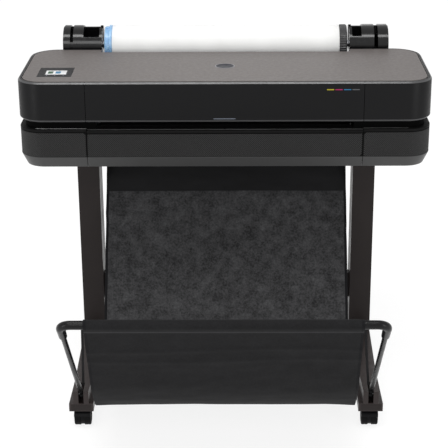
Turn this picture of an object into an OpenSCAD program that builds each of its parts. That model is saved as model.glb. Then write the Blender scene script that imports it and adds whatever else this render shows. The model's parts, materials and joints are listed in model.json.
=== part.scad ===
// Large format plotter on a wheeled stand with a fabric print bin.
// Millimetres, +Z up, +X to the right, +Y to the back.
// Y is measured from the front face of the printer while modelling; place() then centres the object.

/* [Printer body] */
// Overall width of the printer
body_w = 1013; // [960:1:1060]
// Depth of the top, front face to rear edge
body_d = 343; // [320:1:360]
// Plan radius of the front corners
front_r = 62; // [50:1:75]
// Plan radius of the rear corners
rear_r = 70; // [55:1:85]
// Half distance between the two front seams
seam_x = 338; // [334:1:346]
// Wall thickness of the covers
wall = 3; // [2.5:0.1:3.5]

/* [Heights above the floor] */
// Underside of the printer
under_z = 664; // [650:1:680]
// Height of the lower sloping edge
slope_h = 27; // [20:1:32]
// Top of the lower covers
lower_z = 762; // [755:1:768]
// Bottom of the upper covers
upper_z = 781; // [776:1:786]
// Top of the flat top plate
top_z = 881; // [876:1:890]

/* [Paper roll] */
// Length of the paper roll
roll_len = 602; // [560:1:610]
// Radius of the paper roll
roll_r = 49; // [35:1:50]
// Radius of the roll holders
holder_r = 51; // [50:1:52]
// Distance of the roll axis behind the front face
roll_y = 397; // [396:1:402]

/* [Stand] */
// Distance of the stand legs and feet from the middle
stand_x = 367; // [360:1:372]
// Width of a leg
leg_w = 58; // [48:1:64]
// Depth of a leg
leg_d = 80; // [60:1:90]
// Front face of a leg behind the printer's front face
leg_y = 262; // [230:1:280]
// Front end of the feet
foot_front = -118; // [-130:1:-105]
// Length of the feet
foot_len = 600; // [580:1:620]
// Radius of the caster wheels
wheel_r = 22; // [20:0.5:22]

/* [Print bin] */
// Front tube of the bin, distance behind the front face
tube_y = -427; // [-440:1:-410]
// Front tube of the bin, height
tube_z = 438; // [420:1:450]
// Radius of the front tube
tube_r = 10.5; // [9:0.5:12]
// Width of the bin fabric
cloth_w = 644; // [600:1:650]

/* [Hidden] */
$fn = 64;

half_w = body_w / 2;
tiny = 0.01;
gap = 0.3;
fit = 0.05;

// Top plate and the ring of the covers around it
ring_w = 9;
groove = 2;
plate_t = 3;
notch_y = 306;
notch_x = 326;
bevel = 4;

// Display in the top plate
display_x = [-461, -376];
display_y = [56, 146];
screen_x = [-446, -388];
screen_y = [78, 122];
screen_sunk = 1.2;

// Gap for the printed paper between the upper and lower covers
waist_inset = 14;
centre_drop = 3;
lip = 16;

// Front door hinge
door_side_gap = 1.2;
door_axis_y = 4.5;
door_axis_z = top_z - 4.5;
door_pin_r = 1.5;

// Chassis side plates
plate_x = 452;
side_t = 2;
pan_inset = 16.5;

// Carriage
rail_y = 80;
rail_z = 842;
rail_r = 6;
carriage_l = 96;
carriage_x = 360;
belt_y = 116;
belt_z = 850;
belt_w = 6;
belt_t = 1.2;
pulley_x = 430;
pulley_r = 8;

// Paper feed
feed_y = 140;
feed_z = 755;
feed_r = 12;
feed_shaft_r = 5;
pinch_r = 6;
pinch_shaft_r = 2;
pinch_z = feed_z + feed_r + pinch_r + gap;
pinch_n = 6;
pinch_end = -394;
gear_module = 1.5;
gear_teeth = 48;
pinion_teeth = 12;
gear_x = -420;
gear_t = 8;
gear_dir = -30;
gear_span = gear_module * (gear_teeth + pinion_teeth) / 2;
pinion_y = feed_y + gear_span * cos(gear_dir);
pinion_z = feed_z + gear_span * sin(gear_dir);
platen_z = 764;

// Roll, spindle and holders
overall_h = 932;
above = overall_h + 8;
roll_z = overall_h - holder_r;
spindle_r = 9;
core_r = 26;
flange_r = holder_r;
bush_r = 14;
bush_l = 8;
holder_in = 327;
pocket_in = 334;
pocket_back = roll_y + 30;
holder_tray_z = 822;

// Rear housing
rear_x = 440;
rear_y = roll_y + holder_r - 2;

// Stand
foot_low_w = 62;
foot_mid_w = 56;
foot_top_w = 39;
foot_base_z = 52;
foot_step_z = 74;
foot_top_z = 108;
foot_slot_w = 13;
foot_slot_l = 52;
leg_top_z = under_z - 8;
pivot_y = -98;
pivot_z = 92;
caster_y = [-74, 440];
trail = 12;
axle_z = wheel_r;
wheel_w = 17;
wheel_gap = 9;
stem_r = 5;

// Bin
arm_r = 6.5;
bend_r = 24;
sleeve_len = 84;
arm_grip = 40;
neck_len = 30;
pivot_pin_r = 3;
cloth_t = 1.6;
sleeve_r = tube_r + 2;
bar_y = 361;
bar_z = 640;
bar_r = 8;
sag_y = -113;
sag_z = 362;
sag_r = 257;
rear_ang = -31.6;
front_ang = -153.2;

// Middle of the object from front to back, between the bin's front and the feet's rear ends
mid_y = (tube_y - sleeve_r + foot_front + foot_len) / 2;

// ---------- helpers ----------

module place() { translate([0, -mid_y, 0]) children(); }

module on_left() { mirror([1, 0, 0]) children(); }

// A box from its low corner to its high corner
module span(lo, hi) { translate(lo) cube(hi - lo); }

// A cylinder along X from x0 to x1
module rod_x(x0, x1, r, y, z) {
    translate([x0, y, z]) rotate([0, 90, 0]) cylinder(h = x1 - x0, r = r);
}

// Moves a flat outline drawn as (y, z) so that it spans x0 to x1
module along_x(x0, x1) {
    translate([x0, 0, 0]) rotate([90, 0, 90]) linear_extrude(x1 - x0) children();
}

// A rounded rectangle in plan, inset from the printer's outline
module plan(inset, y1 = body_d) {
    rf = front_r - inset;
    rr = rear_r - inset;
    hw = half_w - inset;
    y0 = inset;
    yb = y1 - inset;
    translate([-hw, y0 + rf]) square([2 * hw, yb - rr - y0 - rf]);
    translate([-hw + rf, y0]) square([2 * (hw - rf), rf + tiny]);
    translate([-hw + rr, yb - rr - tiny]) square([2 * (hw - rr), rr + tiny]);
    for (s = [-1, 1]) {
        translate([s * (hw - rf), y0 + rf]) circle(r = rf);
        translate([s * (hw - rr), yb - rr]) circle(r = rr);
    }
}

// Sweeps a wall section round the right-hand end of the printer.
// The section is drawn as (inset from the outer face, height).
module wrap(x_front, x_back) {
    along_x(x_front, half_w - front_r) children();
    translate([half_w - front_r, front_r, 0]) rotate([0, 0, -90]) rotate_extrude(angle = 90)
        translate([front_r, 0]) mirror([1, 0]) children();
    translate([half_w, body_d - rear_r, 0]) mirror([1, 0, 0]) rotate([90, 0, 0])
        linear_extrude(body_d - rear_r - front_r) children();
    translate([half_w - rear_r, body_d - rear_r, 0]) rotate_extrude(angle = 90)
        translate([rear_r, 0]) mirror([1, 0]) children();
    translate([0, body_d, 0]) mirror([0, 1, 0]) along_x(x_back, half_w - rear_r) children();
}

module lower_section(drop) {
    z = lower_z - drop;
    polygon([
        [13, under_z], [0, under_z + slope_h], [0, z - 2], [2, z], [lip, z], [lip, z - wall],
        [wall, z - wall], [wall, under_z + slope_h + 0.6], [pan_inset, under_z]]);
}

module upper_section() {
    polygon([
        [bevel, upper_z], [0, upper_z + bevel], [0, top_z - bevel - 0.5], [bevel, top_z - 0.5],
        [ring_w, top_z - 0.5], [ring_w, top_z - plate_t], [ring_w + 6, top_z - plate_t],
        [ring_w + 6, top_z - plate_t - 2.5], [wall, top_z - plate_t - 2.5], [wall, upper_z + wall],
        [waist_inset + 4, upper_z + wall], [waist_inset + 4, upper_z]]);
}

module door_section() {
    polygon([
        [bevel, upper_z], [0, upper_z + bevel], [0, top_z - bevel - 0.5], [bevel, top_z - 0.5],
        [ring_w - 0.2, top_z - 0.5], [ring_w - 0.2, top_z - 3.5], [wall, top_z - 3.5],
        [wall, upper_z + wall], [waist_inset - 1, upper_z + wall], [waist_inset - 1, upper_z]]);
}

// ---------- stand ----------

module foot_plan(w_end, w_mid, y0, y1) {
    polygon([
        [-w_end / 2, y0], [w_end / 2, y0], [w_mid / 2, leg_y], [w_mid / 2, leg_y + leg_d],
        [w_end / 2, y1], [-w_end / 2, y1], [-w_mid / 2, leg_y + leg_d], [-w_mid / 2, leg_y]]);
}

module foot() {
    y1 = foot_front + foot_len;
    color("#3a3433") place() translate([stand_x, 0, 0]) difference() {
        union() {
            translate([0, 0, foot_base_z]) linear_extrude(foot_step_z - foot_base_z)
                foot_plan(foot_low_w, foot_mid_w, foot_front, y1);
            translate([0, 0, foot_step_z - tiny]) linear_extrude(foot_top_z - foot_step_z + tiny)
                foot_plan(foot_top_w, foot_mid_w, foot_front, y1);
        }
        span([-foot_slot_w / 2, foot_front - 1, foot_step_z],
             [foot_slot_w / 2, foot_front + foot_slot_l, foot_top_z + 1]);
        rod_x(-17, 17, pivot_pin_r, pivot_y, pivot_z);
        for (y = caster_y) translate([0, y, foot_base_z - 1]) cylinder(h = 15, r = stem_r + fit);
    }
}

module right_foot() { foot(); }
module left_foot() { on_left() foot(); }

module leg() {
    color("#2a2625") place() translate([stand_x - leg_w / 2, leg_y, foot_top_z]) difference() {
        cube([leg_w, leg_d, leg_top_z - foot_top_z]);
        translate([2, 2, -1]) cube([leg_w - 4, leg_d - 4, leg_top_z - foot_top_z + 2]);
    }
}

module right_leg() { leg(); }
module left_leg() { on_left() leg(); }

module cross_brace() {
    x = stand_x - leg_w / 2;
    color("#2a2625") place() difference() {
        span([-x, leg_y + 26, 190], [x, leg_y + 50, 262]);
        span([-x - 1, leg_y + 28, 192], [x + 1, leg_y + 51, 260]);
    }
}

module leg_top_brackets() {
    color("#2a2625") place() for (s = [-1, 1]) translate([s * stand_x, 0, 0]) {
        span([-38, leg_y - 60, leg_top_z], [38, leg_y + leg_d + 6, under_z]);
        for (e = [-1, 1]) translate([e * (leg_w / 2 + 1.5) - 1.5, leg_y + 8, leg_top_z - 50])
            cube([3, leg_d - 16, 50 + tiny]);
    }
}

// Screws of the leg brackets, and the pins that the bin arms turn on
module stand_fasteners() {
    color("#8a8c90") place() {
        for (s = [-1, 1]) for (e = [-1, 1]) for (y = [leg_y + 20, leg_y + leg_d - 20])
            for (z = [leg_top_z - 34, leg_top_z - 14])
                rod_x(s * stand_x + e * 34.1 - 2, s * stand_x + e * 34.1 + 2, 4.5, y, z);
        for (s = [-1, 1]) for (y = [leg_y - 44, leg_y - 18])
            translate([s * stand_x, y, leg_top_z - 3]) cylinder(h = 3, r = 5);
        for (s = [-1, 1]) translate([s * stand_x, 0, 0])
            rod_x(-17, 17, pivot_pin_r, pivot_y, pivot_z);
    }
}

module caster_stem(y) {
    translate([0, y, foot_base_z - 4]) cylinder(h = 17, r = stem_r);
}

module hood(side, y) {
    color("#1f2022") place() translate([side * stand_x, 0, 0]) {
        caster_stem(y);
        translate([0, y, foot_base_z - 6]) cylinder(h = 5, r = 11);
        difference() {
            union() {
                rod_x(-wheel_gap / 2 + gap, wheel_gap / 2 - gap, wheel_r - 2, y - trail, axle_z);
                span([-wheel_gap / 2 + gap, y - trail, axle_z], [wheel_gap / 2 - gap, y + 9, 46]);
                intersection() {
                    difference() {
                        rod_x(-21, 21, wheel_r + 3.4, y - trail, axle_z);
                        rod_x(-22, 22, wheel_r + 1, y - trail, axle_z);
                    }
                    span([-21, y - 34, 30], [21, y + 12, 60]);
                }
                span([-9, y - 9, axle_z + wheel_r + 1.2], [9, y + 9, foot_base_z - 4]);
            }
            rod_x(-30, 30, 3 + fit, y - trail, axle_z);
        }
    }
}

module wheels(side, y) {
    color("#161617") place() translate([side * stand_x, y - trail, axle_z]) rotate([0, 90, 0]) {
        for (e = [0, 1]) mirror([0, 0, e]) translate([0, 0, wheel_gap / 2]) rotate_extrude()
            polygon([
                [0, 0], [wheel_r - 1.5, 0], [wheel_r, 1.5], [wheel_r, wheel_w - 4],
                [wheel_r - 3, wheel_w - 1], [wheel_r - 7, wheel_w], [wheel_r - 9, wheel_w - 3],
                [6, wheel_w - 3], [6, wheel_w - 1], [0, wheel_w - 1]]);
        translate([0, 0, -wheel_gap / 2 - 1]) cylinder(h = wheel_gap + 2, r = 3);
    }
}

module front_left_caster_hood() { hood(-1, caster_y[0]); }
module front_right_caster_hood() { hood(1, caster_y[0]); }
module rear_left_caster_hood() { hood(-1, caster_y[1]); }
module rear_right_caster_hood() { hood(1, caster_y[1]); }
module front_left_caster_wheels() { wheels(-1, caster_y[0]); }
module front_right_caster_wheels() { wheels(1, caster_y[0]); }
module rear_left_caster_wheels() { wheels(-1, caster_y[1]); }
module rear_right_caster_wheels() { wheels(1, caster_y[1]); }

// ---------- print bin ----------

arm_len = sqrt(pow(tube_y - pivot_y, 2) + pow(tube_z - pivot_z, 2));
arm_tilt = atan2(tube_z - pivot_z, -(tube_y - pivot_y));

// Frame whose Z axis runs up an arm from its pivot
module arm_frame(side) {
    translate([side * stand_x, pivot_y, pivot_z]) rotate([90 - arm_tilt, 0, 0]) children();
}

// One tube bent at both corners, with open ends that the arms push into
module bin_front_tube() {
    color("#363637") place() translate([0, tube_y, tube_z]) rotate([90 - arm_tilt, 0, 0])
        difference() {
            union() {
                for (s = [-1, 1]) {
                    translate([s * (stand_x - bend_r), 0, -bend_r]) rotate([90, 0, 0])
                        rotate([0, 0, s > 0 ? 0 : 90]) rotate_extrude(angle = 90)
                            translate([bend_r, 0]) circle(r = tube_r);
                    translate([s * stand_x, 0, -sleeve_len])
                        cylinder(h = sleeve_len - bend_r, r = tube_r);
                }
                translate([-stand_x + bend_r, 0, 0]) rotate([0, 90, 0]) rotate([0, 0, 90])
                    cylinder(h = 2 * (stand_x - bend_r), r = tube_r);
            }
            for (s = [-1, 1]) translate([s * stand_x, 0, -sleeve_len - 1])
                cylinder(h = arm_grip + 1, r = arm_r);
        }
}

module bin_arms() {
    color("#4b4c4e") place() for (s = [-1, 1]) arm_frame(s)
        translate([0, 0, neck_len]) cylinder(h = arm_len - sleeve_len + arm_grip - neck_len, r = arm_r);
}

module bin_pivot_hooks() {
    color("#0c0c0d") place() for (s = [-1, 1]) difference() {
        union() {
            translate([s * stand_x, 0, 0]) rod_x(-5, 5, 9, pivot_y, pivot_z);
            arm_frame(s) cylinder(h = neck_len, r = 5.6);
        }
        translate([s * stand_x, 0, 0]) rod_x(-20, 20, pivot_pin_r + fit, pivot_y, pivot_z);
    }
}

function on_sag(a, r) = [sag_y + r * cos(a), sag_z + r * sin(a)];

// A strip of fabric from one point to another, in (y, z)
module strip(p, q) {
    d = q - p;
    translate(p) rotate(atan2(d[1], d[0])) translate([0, -cloth_t / 2]) square([norm(d), cloth_t]);
}

module sag_wedge(a0, a1) {
    r = sag_r * 2;
    polygon(concat([[sag_y, sag_z]], [for (k = [0:4]) let (a = a0 + (a1 - a0) * k / 4)
        [sag_y + r * cos(a), sag_z + r * sin(a)]]));
}

module bin_sling_rear() {
    color("#323234") place() along_x(-cloth_w / 2, cloth_w / 2) {
        strip([bar_y, bar_z - bar_r - 1], on_sag(rear_ang, sag_r));
        intersection() {
            difference() {
                translate([sag_y, sag_z]) circle(r = sag_r + cloth_t / 2, $fn = 128);
                translate([sag_y, sag_z]) circle(r = sag_r - cloth_t / 2, $fn = 128);
            }
            sag_wedge(rear_ang, front_ang + 1);
        }
    }
}

module bin_sling_front() {
    color("#252526") place() along_x(-cloth_w / 2, cloth_w / 2) {
        strip(on_sag(front_ang, sag_r), [tube_y + tube_r * 0.9, tube_z - tube_r * 0.6 - 1]);
        difference() {
            translate([tube_y, tube_z]) circle(r = sleeve_r);
            translate([tube_y, tube_z]) circle(r = tube_r);
        }
    }
}

module rear_bin_bar() {
    x = stand_x - leg_w / 2;
    color("#2a2625") place() {
        rod_x(-x - 8, x + 8, bar_r, bar_y, bar_z);
        for (s = [-1, 1]) translate([s * (x + 4), 0, 0])
            span([-4, leg_y + leg_d, bar_z - 12], [4, bar_y + 10, bar_z + 12]);
    }
}

// ---------- printer covers ----------

module chassis() {
    color("#8b8f93") place() difference() {
        union() {
            translate([0, 0, under_z]) linear_extrude(wall) plan(pan_inset);
            for (s = [-1, 1]) translate([s * (plate_x + side_t / 2) - side_t / 2, 30, under_z])
                cube([side_t, 290, 862 - under_z]);
            span([pinch_end - 4, feed_y - 9, under_z + wall - tiny], [pinch_end, feed_y + 9, pinch_z + 9]);
        }
        rod_x(-460, 460, rail_r, rail_y, rail_z);
        rod_x(-460, 460, feed_shaft_r + fit, feed_y, feed_z);
        rod_x(-460, 460, pinch_shaft_r + fit, feed_y, pinch_z);
    }
}

module lower_front_cover() {
    x = seam_x - door_side_gap / 2;
    color("#303030") place() along_x(-x, x) lower_section(centre_drop);
}

module lower_end() {
    color("#303030") place() wrap(seam_x + door_side_gap / 2, seam_x) lower_section(0);
}

module lower_right_cover() { lower_end(); }
module lower_left_cover() { on_left() lower_end(); }

module waist_frame() {
    h = upper_z - lower_z;
    color("#0a0a0a") place() difference() {
        translate([0, 0, lower_z]) linear_extrude(h) difference() {
            plan(waist_inset);
            plan(waist_inset + wall);
        }
        span([-315, waist_inset - 1, lower_z + 1.5], [315, waist_inset + wall + 1, upper_z - 3]);
        span([-notch_x, body_d - 40, lower_z - 1], [notch_x, body_d, upper_z + 1]);
    }
}

module hinge_block(x0, x1) {
    span([x0, 1, top_z - 10], [x1, ring_w - 0.5, top_z - 0.6]);
}

module upper_end() {
    x = seam_x + door_side_gap / 2;
    color("#262626") place() difference() {
        union() {
            wrap(x, notch_x + 4) upper_section();
            hinge_block(x, x + 12);
        }
        rod_x(x - 1, x + 10, door_pin_r + fit, door_axis_y, door_axis_z);
    }
}

module upper_right_cover() { upper_end(); }
module upper_left_cover() { on_left() upper_end(); }

module top_plate() {
    color("#8f8b8a") place() translate([0, 0, top_z - plate_t]) linear_extrude(plate_t)
        difference() {
            plan(ring_w + groove);
            translate([display_x[0] - fit, display_y[0] - fit])
                square([display_x[1] - display_x[0] + 2 * fit, display_y[1] - display_y[0] + 2 * fit]);
            translate([-notch_x + 8, notch_y]) square([2 * (notch_x - 8), 60]);
            translate([-notch_x, notch_y + 8]) square([2 * notch_x, 60]);
            for (s = [-1, 1]) translate([s * (notch_x - 8), notch_y + 8]) circle(r = 8);
        }
}

// Let into the top plate from below, with a flange under the plate
module display_bezel() {
    flange = 4;
    color("#404043") place() difference() {
        union() {
            span([display_x[0], display_y[0], top_z - plate_t - tiny],
                 [display_x[1], display_y[1], top_z - 0.1]);
            span([display_x[0] - flange, display_y[0] - flange, top_z - plate_t - 2],
                 [display_x[1] + flange, display_y[1] + flange, top_z - plate_t]);
        }
        span([screen_x[0], screen_y[0], top_z - screen_sunk], [screen_x[1], screen_y[1], top_z + 1]);
    }
}

module display_glass() {
    color("#f2f4f6") place() span([screen_x[0], screen_y[0], top_z - screen_sunk],
                                  [screen_x[1], screen_y[1], top_z - 0.4]);
}

// Box-shaped tail of the printer, with the trough that the paper roll lies over
module rear_housing() {
    color("#1e1e1f") place() difference() {
        union() {
            span([-rear_x, body_d, under_z], [rear_x, rear_y - 24, holder_tray_z]);
            span([-rear_x + 24, body_d, under_z], [rear_x - 24, rear_y, holder_tray_z]);
            for (s = [-1, 1]) translate([s * (rear_x - 24), rear_y - 24, under_z])
                cylinder(h = holder_tray_z - under_z, r = 24);
            span([-notch_x + 1, notch_y + 1, 800], [notch_x - 1, body_d + 1, holder_tray_z]);
            span([-notch_x + 9, notch_y + 1, 800], [notch_x - 9, notch_y + 4, top_z - plate_t]);
        }
        span([-rear_x + wall, body_d - 1, under_z + wall],
             [rear_x - wall, rear_y - 24, holder_tray_z - wall]);
        span([-rear_x + 24, body_d - 1, under_z + wall],
             [rear_x - 24, rear_y - wall, holder_tray_z - wall]);
        span([-notch_x + 4, notch_y + 4, 799], [notch_x - 4, body_d + 2, holder_tray_z - wall]);
        span([-310, notch_y - 1, 835], [310, notch_y + 6, 843]);
        span([-404, rear_y - 8, 690], [-374, rear_y + 1, 714]);
        span([-362, rear_y - 8, 692], [-342, rear_y + 1, 712]);
    }
}

// ---------- roll and spindle ----------

// Round pod with an open pocket for the spindle end. x values are distances from the middle.
module roll_holder(neck_x, slot_x, cap_x, end_x, slot_z) {
    color("#2c2c2d") place() difference() {
        union() {
            rod_x(holder_in, neck_x, holder_r - 1, roll_y, roll_z);
            rod_x(neck_x - tiny, slot_x, holder_r, roll_y, roll_z);
            rod_x(slot_x - tiny, cap_x + tiny, holder_r - 2, roll_y, roll_z);
            rod_x(cap_x, end_x - 3, holder_r, roll_y, roll_z);
            rod_x(end_x - 3, end_x, holder_r - 3, roll_y, roll_z);
            span([holder_in + 4, roll_y - 40, holder_tray_z], [end_x - 6, roll_y + 40, roll_z - 20]);
            span([holder_in, roll_y + 20, roll_z], [neck_x, pocket_back + 6, roll_z + 40]);
        }
        span([pocket_in, roll_y - 41, roll_z - 8], [neck_x - 4, pocket_back, above]);
        span([holder_in - 1, roll_y - bush_r - gap, roll_z], [pocket_in + 8, roll_y + bush_r + gap, above]);
        rod_x(holder_in - 1, pocket_in + 8, bush_r + gap, roll_y, roll_z);
        span([slot_x, roll_y - 60, roll_z + slot_z], [cap_x, roll_y + 22, above]);
    }
}

module right_roll_holder() { roll_holder(363, 392, 402, 430, -18); }
module left_roll_holder() { on_left() roll_holder(380, 403, 411, 430, 16); }

module spindle_bushes() {
    color("#1a1a1b") place() for (s = [-1, 1]) difference() {
        translate([s * (holder_in + 5), 0, 0]) rod_x(-bush_l / 2, bush_l / 2, bush_r, roll_y, roll_z);
        rod_x(-400, 400, spindle_r + fit, roll_y, roll_z);
    }
}

module spindle_shaft() {
    color("#9fa2a6") place() {
        rod_x(-338, 338, spindle_r, roll_y, roll_z);
    }
}

module knurled_flange() {
    n = 48;
    color("#2b2b2c") place() difference() {
        union() {
            rod_x(roll_len / 2 + 1, roll_len / 2 + 20, flange_r - 1, roll_y, roll_z);
            for (k = [0:n - 1]) translate([0, roll_y, roll_z]) rotate([k * 360 / n, 0, 0])
                translate([roll_len / 2 + 2, -1, flange_r - 2]) cube([17, 2, 2]);
        }
        rod_x(200, 400, spindle_r, roll_y, roll_z);
    }
}

module blue_flange() {
    color("#7ca9d6") place() difference() {
        union() {
            rod_x(-roll_len / 2 - 8, -roll_len / 2, flange_r, roll_y, roll_z);
            rod_x(-roll_len / 2 - 20, -roll_len / 2 - 8 + tiny, flange_r - 3, roll_y, roll_z);
        }
        rod_x(-400, -200, spindle_r, roll_y, roll_z);
        rod_x(-roll_len / 2 - 21, -roll_len / 2 - 12, flange_r - 9, roll_y, roll_z);
    }
}

module paper_roll() {
    color("#f4f4f2") place() difference() {
        rod_x(-roll_len / 2, roll_len / 2, roll_r, roll_y, roll_z);
        rod_x(-roll_len / 2 - 1, roll_len / 2 + 1, core_r, roll_y, roll_z);
    }
}

// ---------- printing mechanism ----------

module platen() {
    color("#3c3e40") place() {
        span([-308, 34, platen_z - 6], [308, 124, platen_z]);
        span([-350, 20, platen_z - 6], [350, 35, platen_z - 1]);
        for (x = [-260:130:260]) span([x - 3, 40, under_z + wall], [x + 3, 120, platen_z - 6]);
    }
}

module carriage_rail() {
    color("#b4b8bc") place() rod_x(-plate_x - side_t, plate_x + side_t, rail_r, rail_y, rail_z);
}

module belt_loop(r) {
    translate([-pulley_x, -r]) square([2 * pulley_x, 2 * r]);
    for (s = [-1, 1]) translate([s * pulley_x, 0]) circle(r = r);
}

module drive_belt() {
    color("#151515") place() translate([0, belt_y, belt_z]) linear_extrude(belt_w) difference() {
        belt_loop(pulley_r + gap + belt_t);
        belt_loop(pulley_r + gap);
    }
}

module pulley(x) {
    color("#c9ccd0") place() translate([x, belt_y, belt_z]) difference() {
        union() {
            translate([0, 0, -0.6]) cylinder(h = belt_w + 1.2, r = pulley_r);
            translate([0, 0, -1.6]) cylinder(h = 1, r = pulley_r + 3);
            translate([0, 0, belt_w + 0.6]) cylinder(h = 1, r = pulley_r + 3);
        }
        translate([0, 0, -5]) cylinder(h = 20, r = 2 + fit);
    }
}

module drive_pulley() { pulley(pulley_x); }
module idler_pulley() { pulley(-pulley_x); }

module carriage_motor() {
    color("#7a7d80") place() {
        translate([pulley_x, belt_y, belt_z - 50]) cylinder(h = 47, r = 15);
        translate([pulley_x, belt_y, belt_z - 5]) cylinder(h = 16, r = 2);
        translate([-pulley_x, belt_y, belt_z - 20]) cylinder(h = 17, r = 6);
        translate([-pulley_x, belt_y, belt_z - 5]) cylinder(h = 16, r = 2);
        for (s = [0, 1]) mirror([s, 0, 0])
            span([pulley_x - 15, belt_y - 15, belt_z - 56], [plate_x, belt_y + 15, belt_z - 50]);
        translate([-pulley_x, belt_y, belt_z - 51]) cylinder(h = 32, r = 6);
    }
}

module carriage() {
    x0 = carriage_x - carriage_l / 2;
    color("#1b1c1e") place() difference() {
        union() {
            span([x0, 44, 790], [x0 + carriage_l, 104, 862]);
            span([x0, 103, 790], [x0 + carriage_l, 128, 846]);
            span([x0 + 14, 52, platen_z + 4], [x0 + carriage_l - 14, 118, 791]);
        }
        rod_x(x0 - 1, x0 + carriage_l + 1, rail_r + fit, rail_y, rail_z);
    }
}

// Spur gear with straight-sided teeth, drawn flat. first is the direction of its first tooth.
module gear_plan(teeth, first) {
    rp = gear_module * teeth / 2;
    root = rp - 1.25 * gear_module;
    tip = rp + 0.85 * gear_module;
    half = gear_module * PI / 4;
    circle(r = root + tiny);
    for (k = [0:teeth - 1]) rotate(first + k * 360 / teeth)
        polygon([[root - 1, -half * 1.15], [rp, -half * 0.86], [tip, -half * 0.42],
                 [tip, half * 0.42], [rp, half * 0.86], [root - 1, half * 1.15]]);
}

module feed_roller() {
    color("#5a5c5e") place() {
        rod_x(-306, 306, feed_r, feed_y, feed_z);
        rod_x(-plate_x - side_t, plate_x + side_t, feed_shaft_r, feed_y, feed_z);
    }
}

module feed_gear() {
    color("#e8e6df") place() difference() {
        translate([0, feed_y, feed_z]) along_x(gear_x, gear_x + gear_t)
            gear_plan(gear_teeth, gear_dir);
        rod_x(gear_x - 1, gear_x + gear_t + 1, feed_shaft_r, feed_y, feed_z);
    }
}

module feed_pinion() {
    color("#c8a24a") place() difference() {
        translate([0, pinion_y, pinion_z]) along_x(gear_x, gear_x + gear_t)
            gear_plan(pinion_teeth, gear_dir + 180 + 180 / pinion_teeth);
        rod_x(gear_x - 1, gear_x + gear_t + 1, 2 + fit, pinion_y, pinion_z);
    }
}

module feed_motor() {
    x = gear_x + gear_t + 1;
    color("#7a7d80") place() {
        rod_x(gear_x - 1, x, 2, pinion_y, pinion_z);
        rod_x(x, x + 44, 18, pinion_y, pinion_z);
        span([x, pinion_y - 16, under_z + wall], [x + 4, pinion_y + 16, pinion_z]);
    }
}

module pinch_rollers() {
    pitch = 600 / pinch_n;
    color("#2f3032") place() {
        rod_x(pinch_end - 4, plate_x + side_t, pinch_shaft_r, feed_y, pinch_z);
        for (k = [0:pinch_n - 1]) translate([(k - (pinch_n - 1) / 2) * pitch, 0, 0])
            rod_x(-22, 22, pinch_r, feed_y, pinch_z);
    }
}

module cutter() {
    color("#35363a") place() {
        span([-345, 20, platen_z - 1 + gap], [-321, 31, platen_z + 12]);
        rod_x(-321, -318, 5, 25, platen_z + 5);
    }
}

module service_station() {
    color("#3a3b3d") place() difference() {
        span([carriage_x - 48, 40, under_z + wall], [carriage_x + 48, 124, platen_z - 4]);
        span([carriage_x - 30, 56, platen_z - 16], [carriage_x + 30, 110, platen_z]);
    }
}

module ink_cartridges() {
    color("#232527") place() for (k = [0:3]) translate([247 + 20 * k, 0, 0]) {
        span([0, 160, 788], [18, 285, 858]);
        span([3, 152, 796], [15, 160, 850]);
    }
}

module power_supply() {
    color("#9a9da0") place() {
        span([-424, 200, under_z + wall], [-316, 320, 724]);
    }
}

module main_board() {
    color("#1f5a3a") place() {
        span([-290, 205, 682], [-90, 322, 684]);
        for (x = [-284, -96]) for (y = [211, 316]) translate([x, y, under_z + wall])
            cylinder(h = 682 - under_z - wall, r = 3);
        for (x = [-270:45:-120]) span([x, 240, 684], [x + 28, 268, 688]);
    }
}

module power_inlet() {
    color("#111112") place() difference() {
        span([-404, rear_y - 30, 690], [-374, rear_y, 714]);
        span([-401, rear_y - 16, 693], [-377, rear_y + 1, 711]);
    }
}

module power_switch() {
    color("#191919") place() {
        rod_x(-362 + gap, -342 - gap, 6, rear_y - 5, 702);
        span([-362 + gap, rear_y - 5, 693.5], [-342 - gap, rear_y + 1.5, 710.5]);
    }
}

module front_door() {
    x = seam_x - door_side_gap / 2;
    color("#242424") place() difference() {
        union() {
            along_x(-x, x) door_section();
            hinge_block(-x, -x + 12);
            hinge_block(x - 12, x);
        }
        rod_x(-x - 1, -x + 10, door_pin_r, door_axis_y, door_axis_z);
        rod_x(x - 10, x + 1, door_pin_r, door_axis_y, door_axis_z);
    }
}

module door_hinge_pins() {
    x = seam_x - door_side_gap / 2;
    color("#b0b2b5") place() for (s = [-1, 1]) translate([s * (x - 0.5), 0, 0])
        rod_x(-9, 9, door_pin_r, door_axis_y, door_axis_z);
}

left_foot();
right_foot();
left_leg();
right_leg();
cross_brace();
leg_top_brackets();
stand_fasteners();
rear_bin_bar();
bin_sling_rear();
chassis();
lower_front_cover();
lower_left_cover();
lower_right_cover();
waist_frame();
upper_left_cover();
upper_right_cover();
top_plate();
display_bezel();
display_glass();
rear_housing();
left_roll_holder();
right_roll_holder();
platen();
carriage_rail();
drive_belt();
carriage_motor();
feed_motor();
ink_cartridges();
service_station();
power_supply();
main_board();
power_inlet();
front_door();
door_hinge_pins();
carriage();
drive_pulley();
idler_pulley();
feed_roller();
feed_gear();
feed_pinion();
pinch_rollers();
cutter();
spindle_bushes();
spindle_shaft();
knurled_flange();
blue_flange();
paper_roll();
power_switch();
front_left_caster_hood();
front_right_caster_hood();
rear_left_caster_hood();
rear_right_caster_hood();
front_left_caster_wheels();
front_right_caster_wheels();
rear_left_caster_wheels();
rear_right_caster_wheels();
bin_front_tube();
bin_arms();
bin_pivot_hooks();
bin_sling_front();
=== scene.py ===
import json
import math

import bmesh
import bpy
from mathutils import Matrix, Vector, noise


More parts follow.
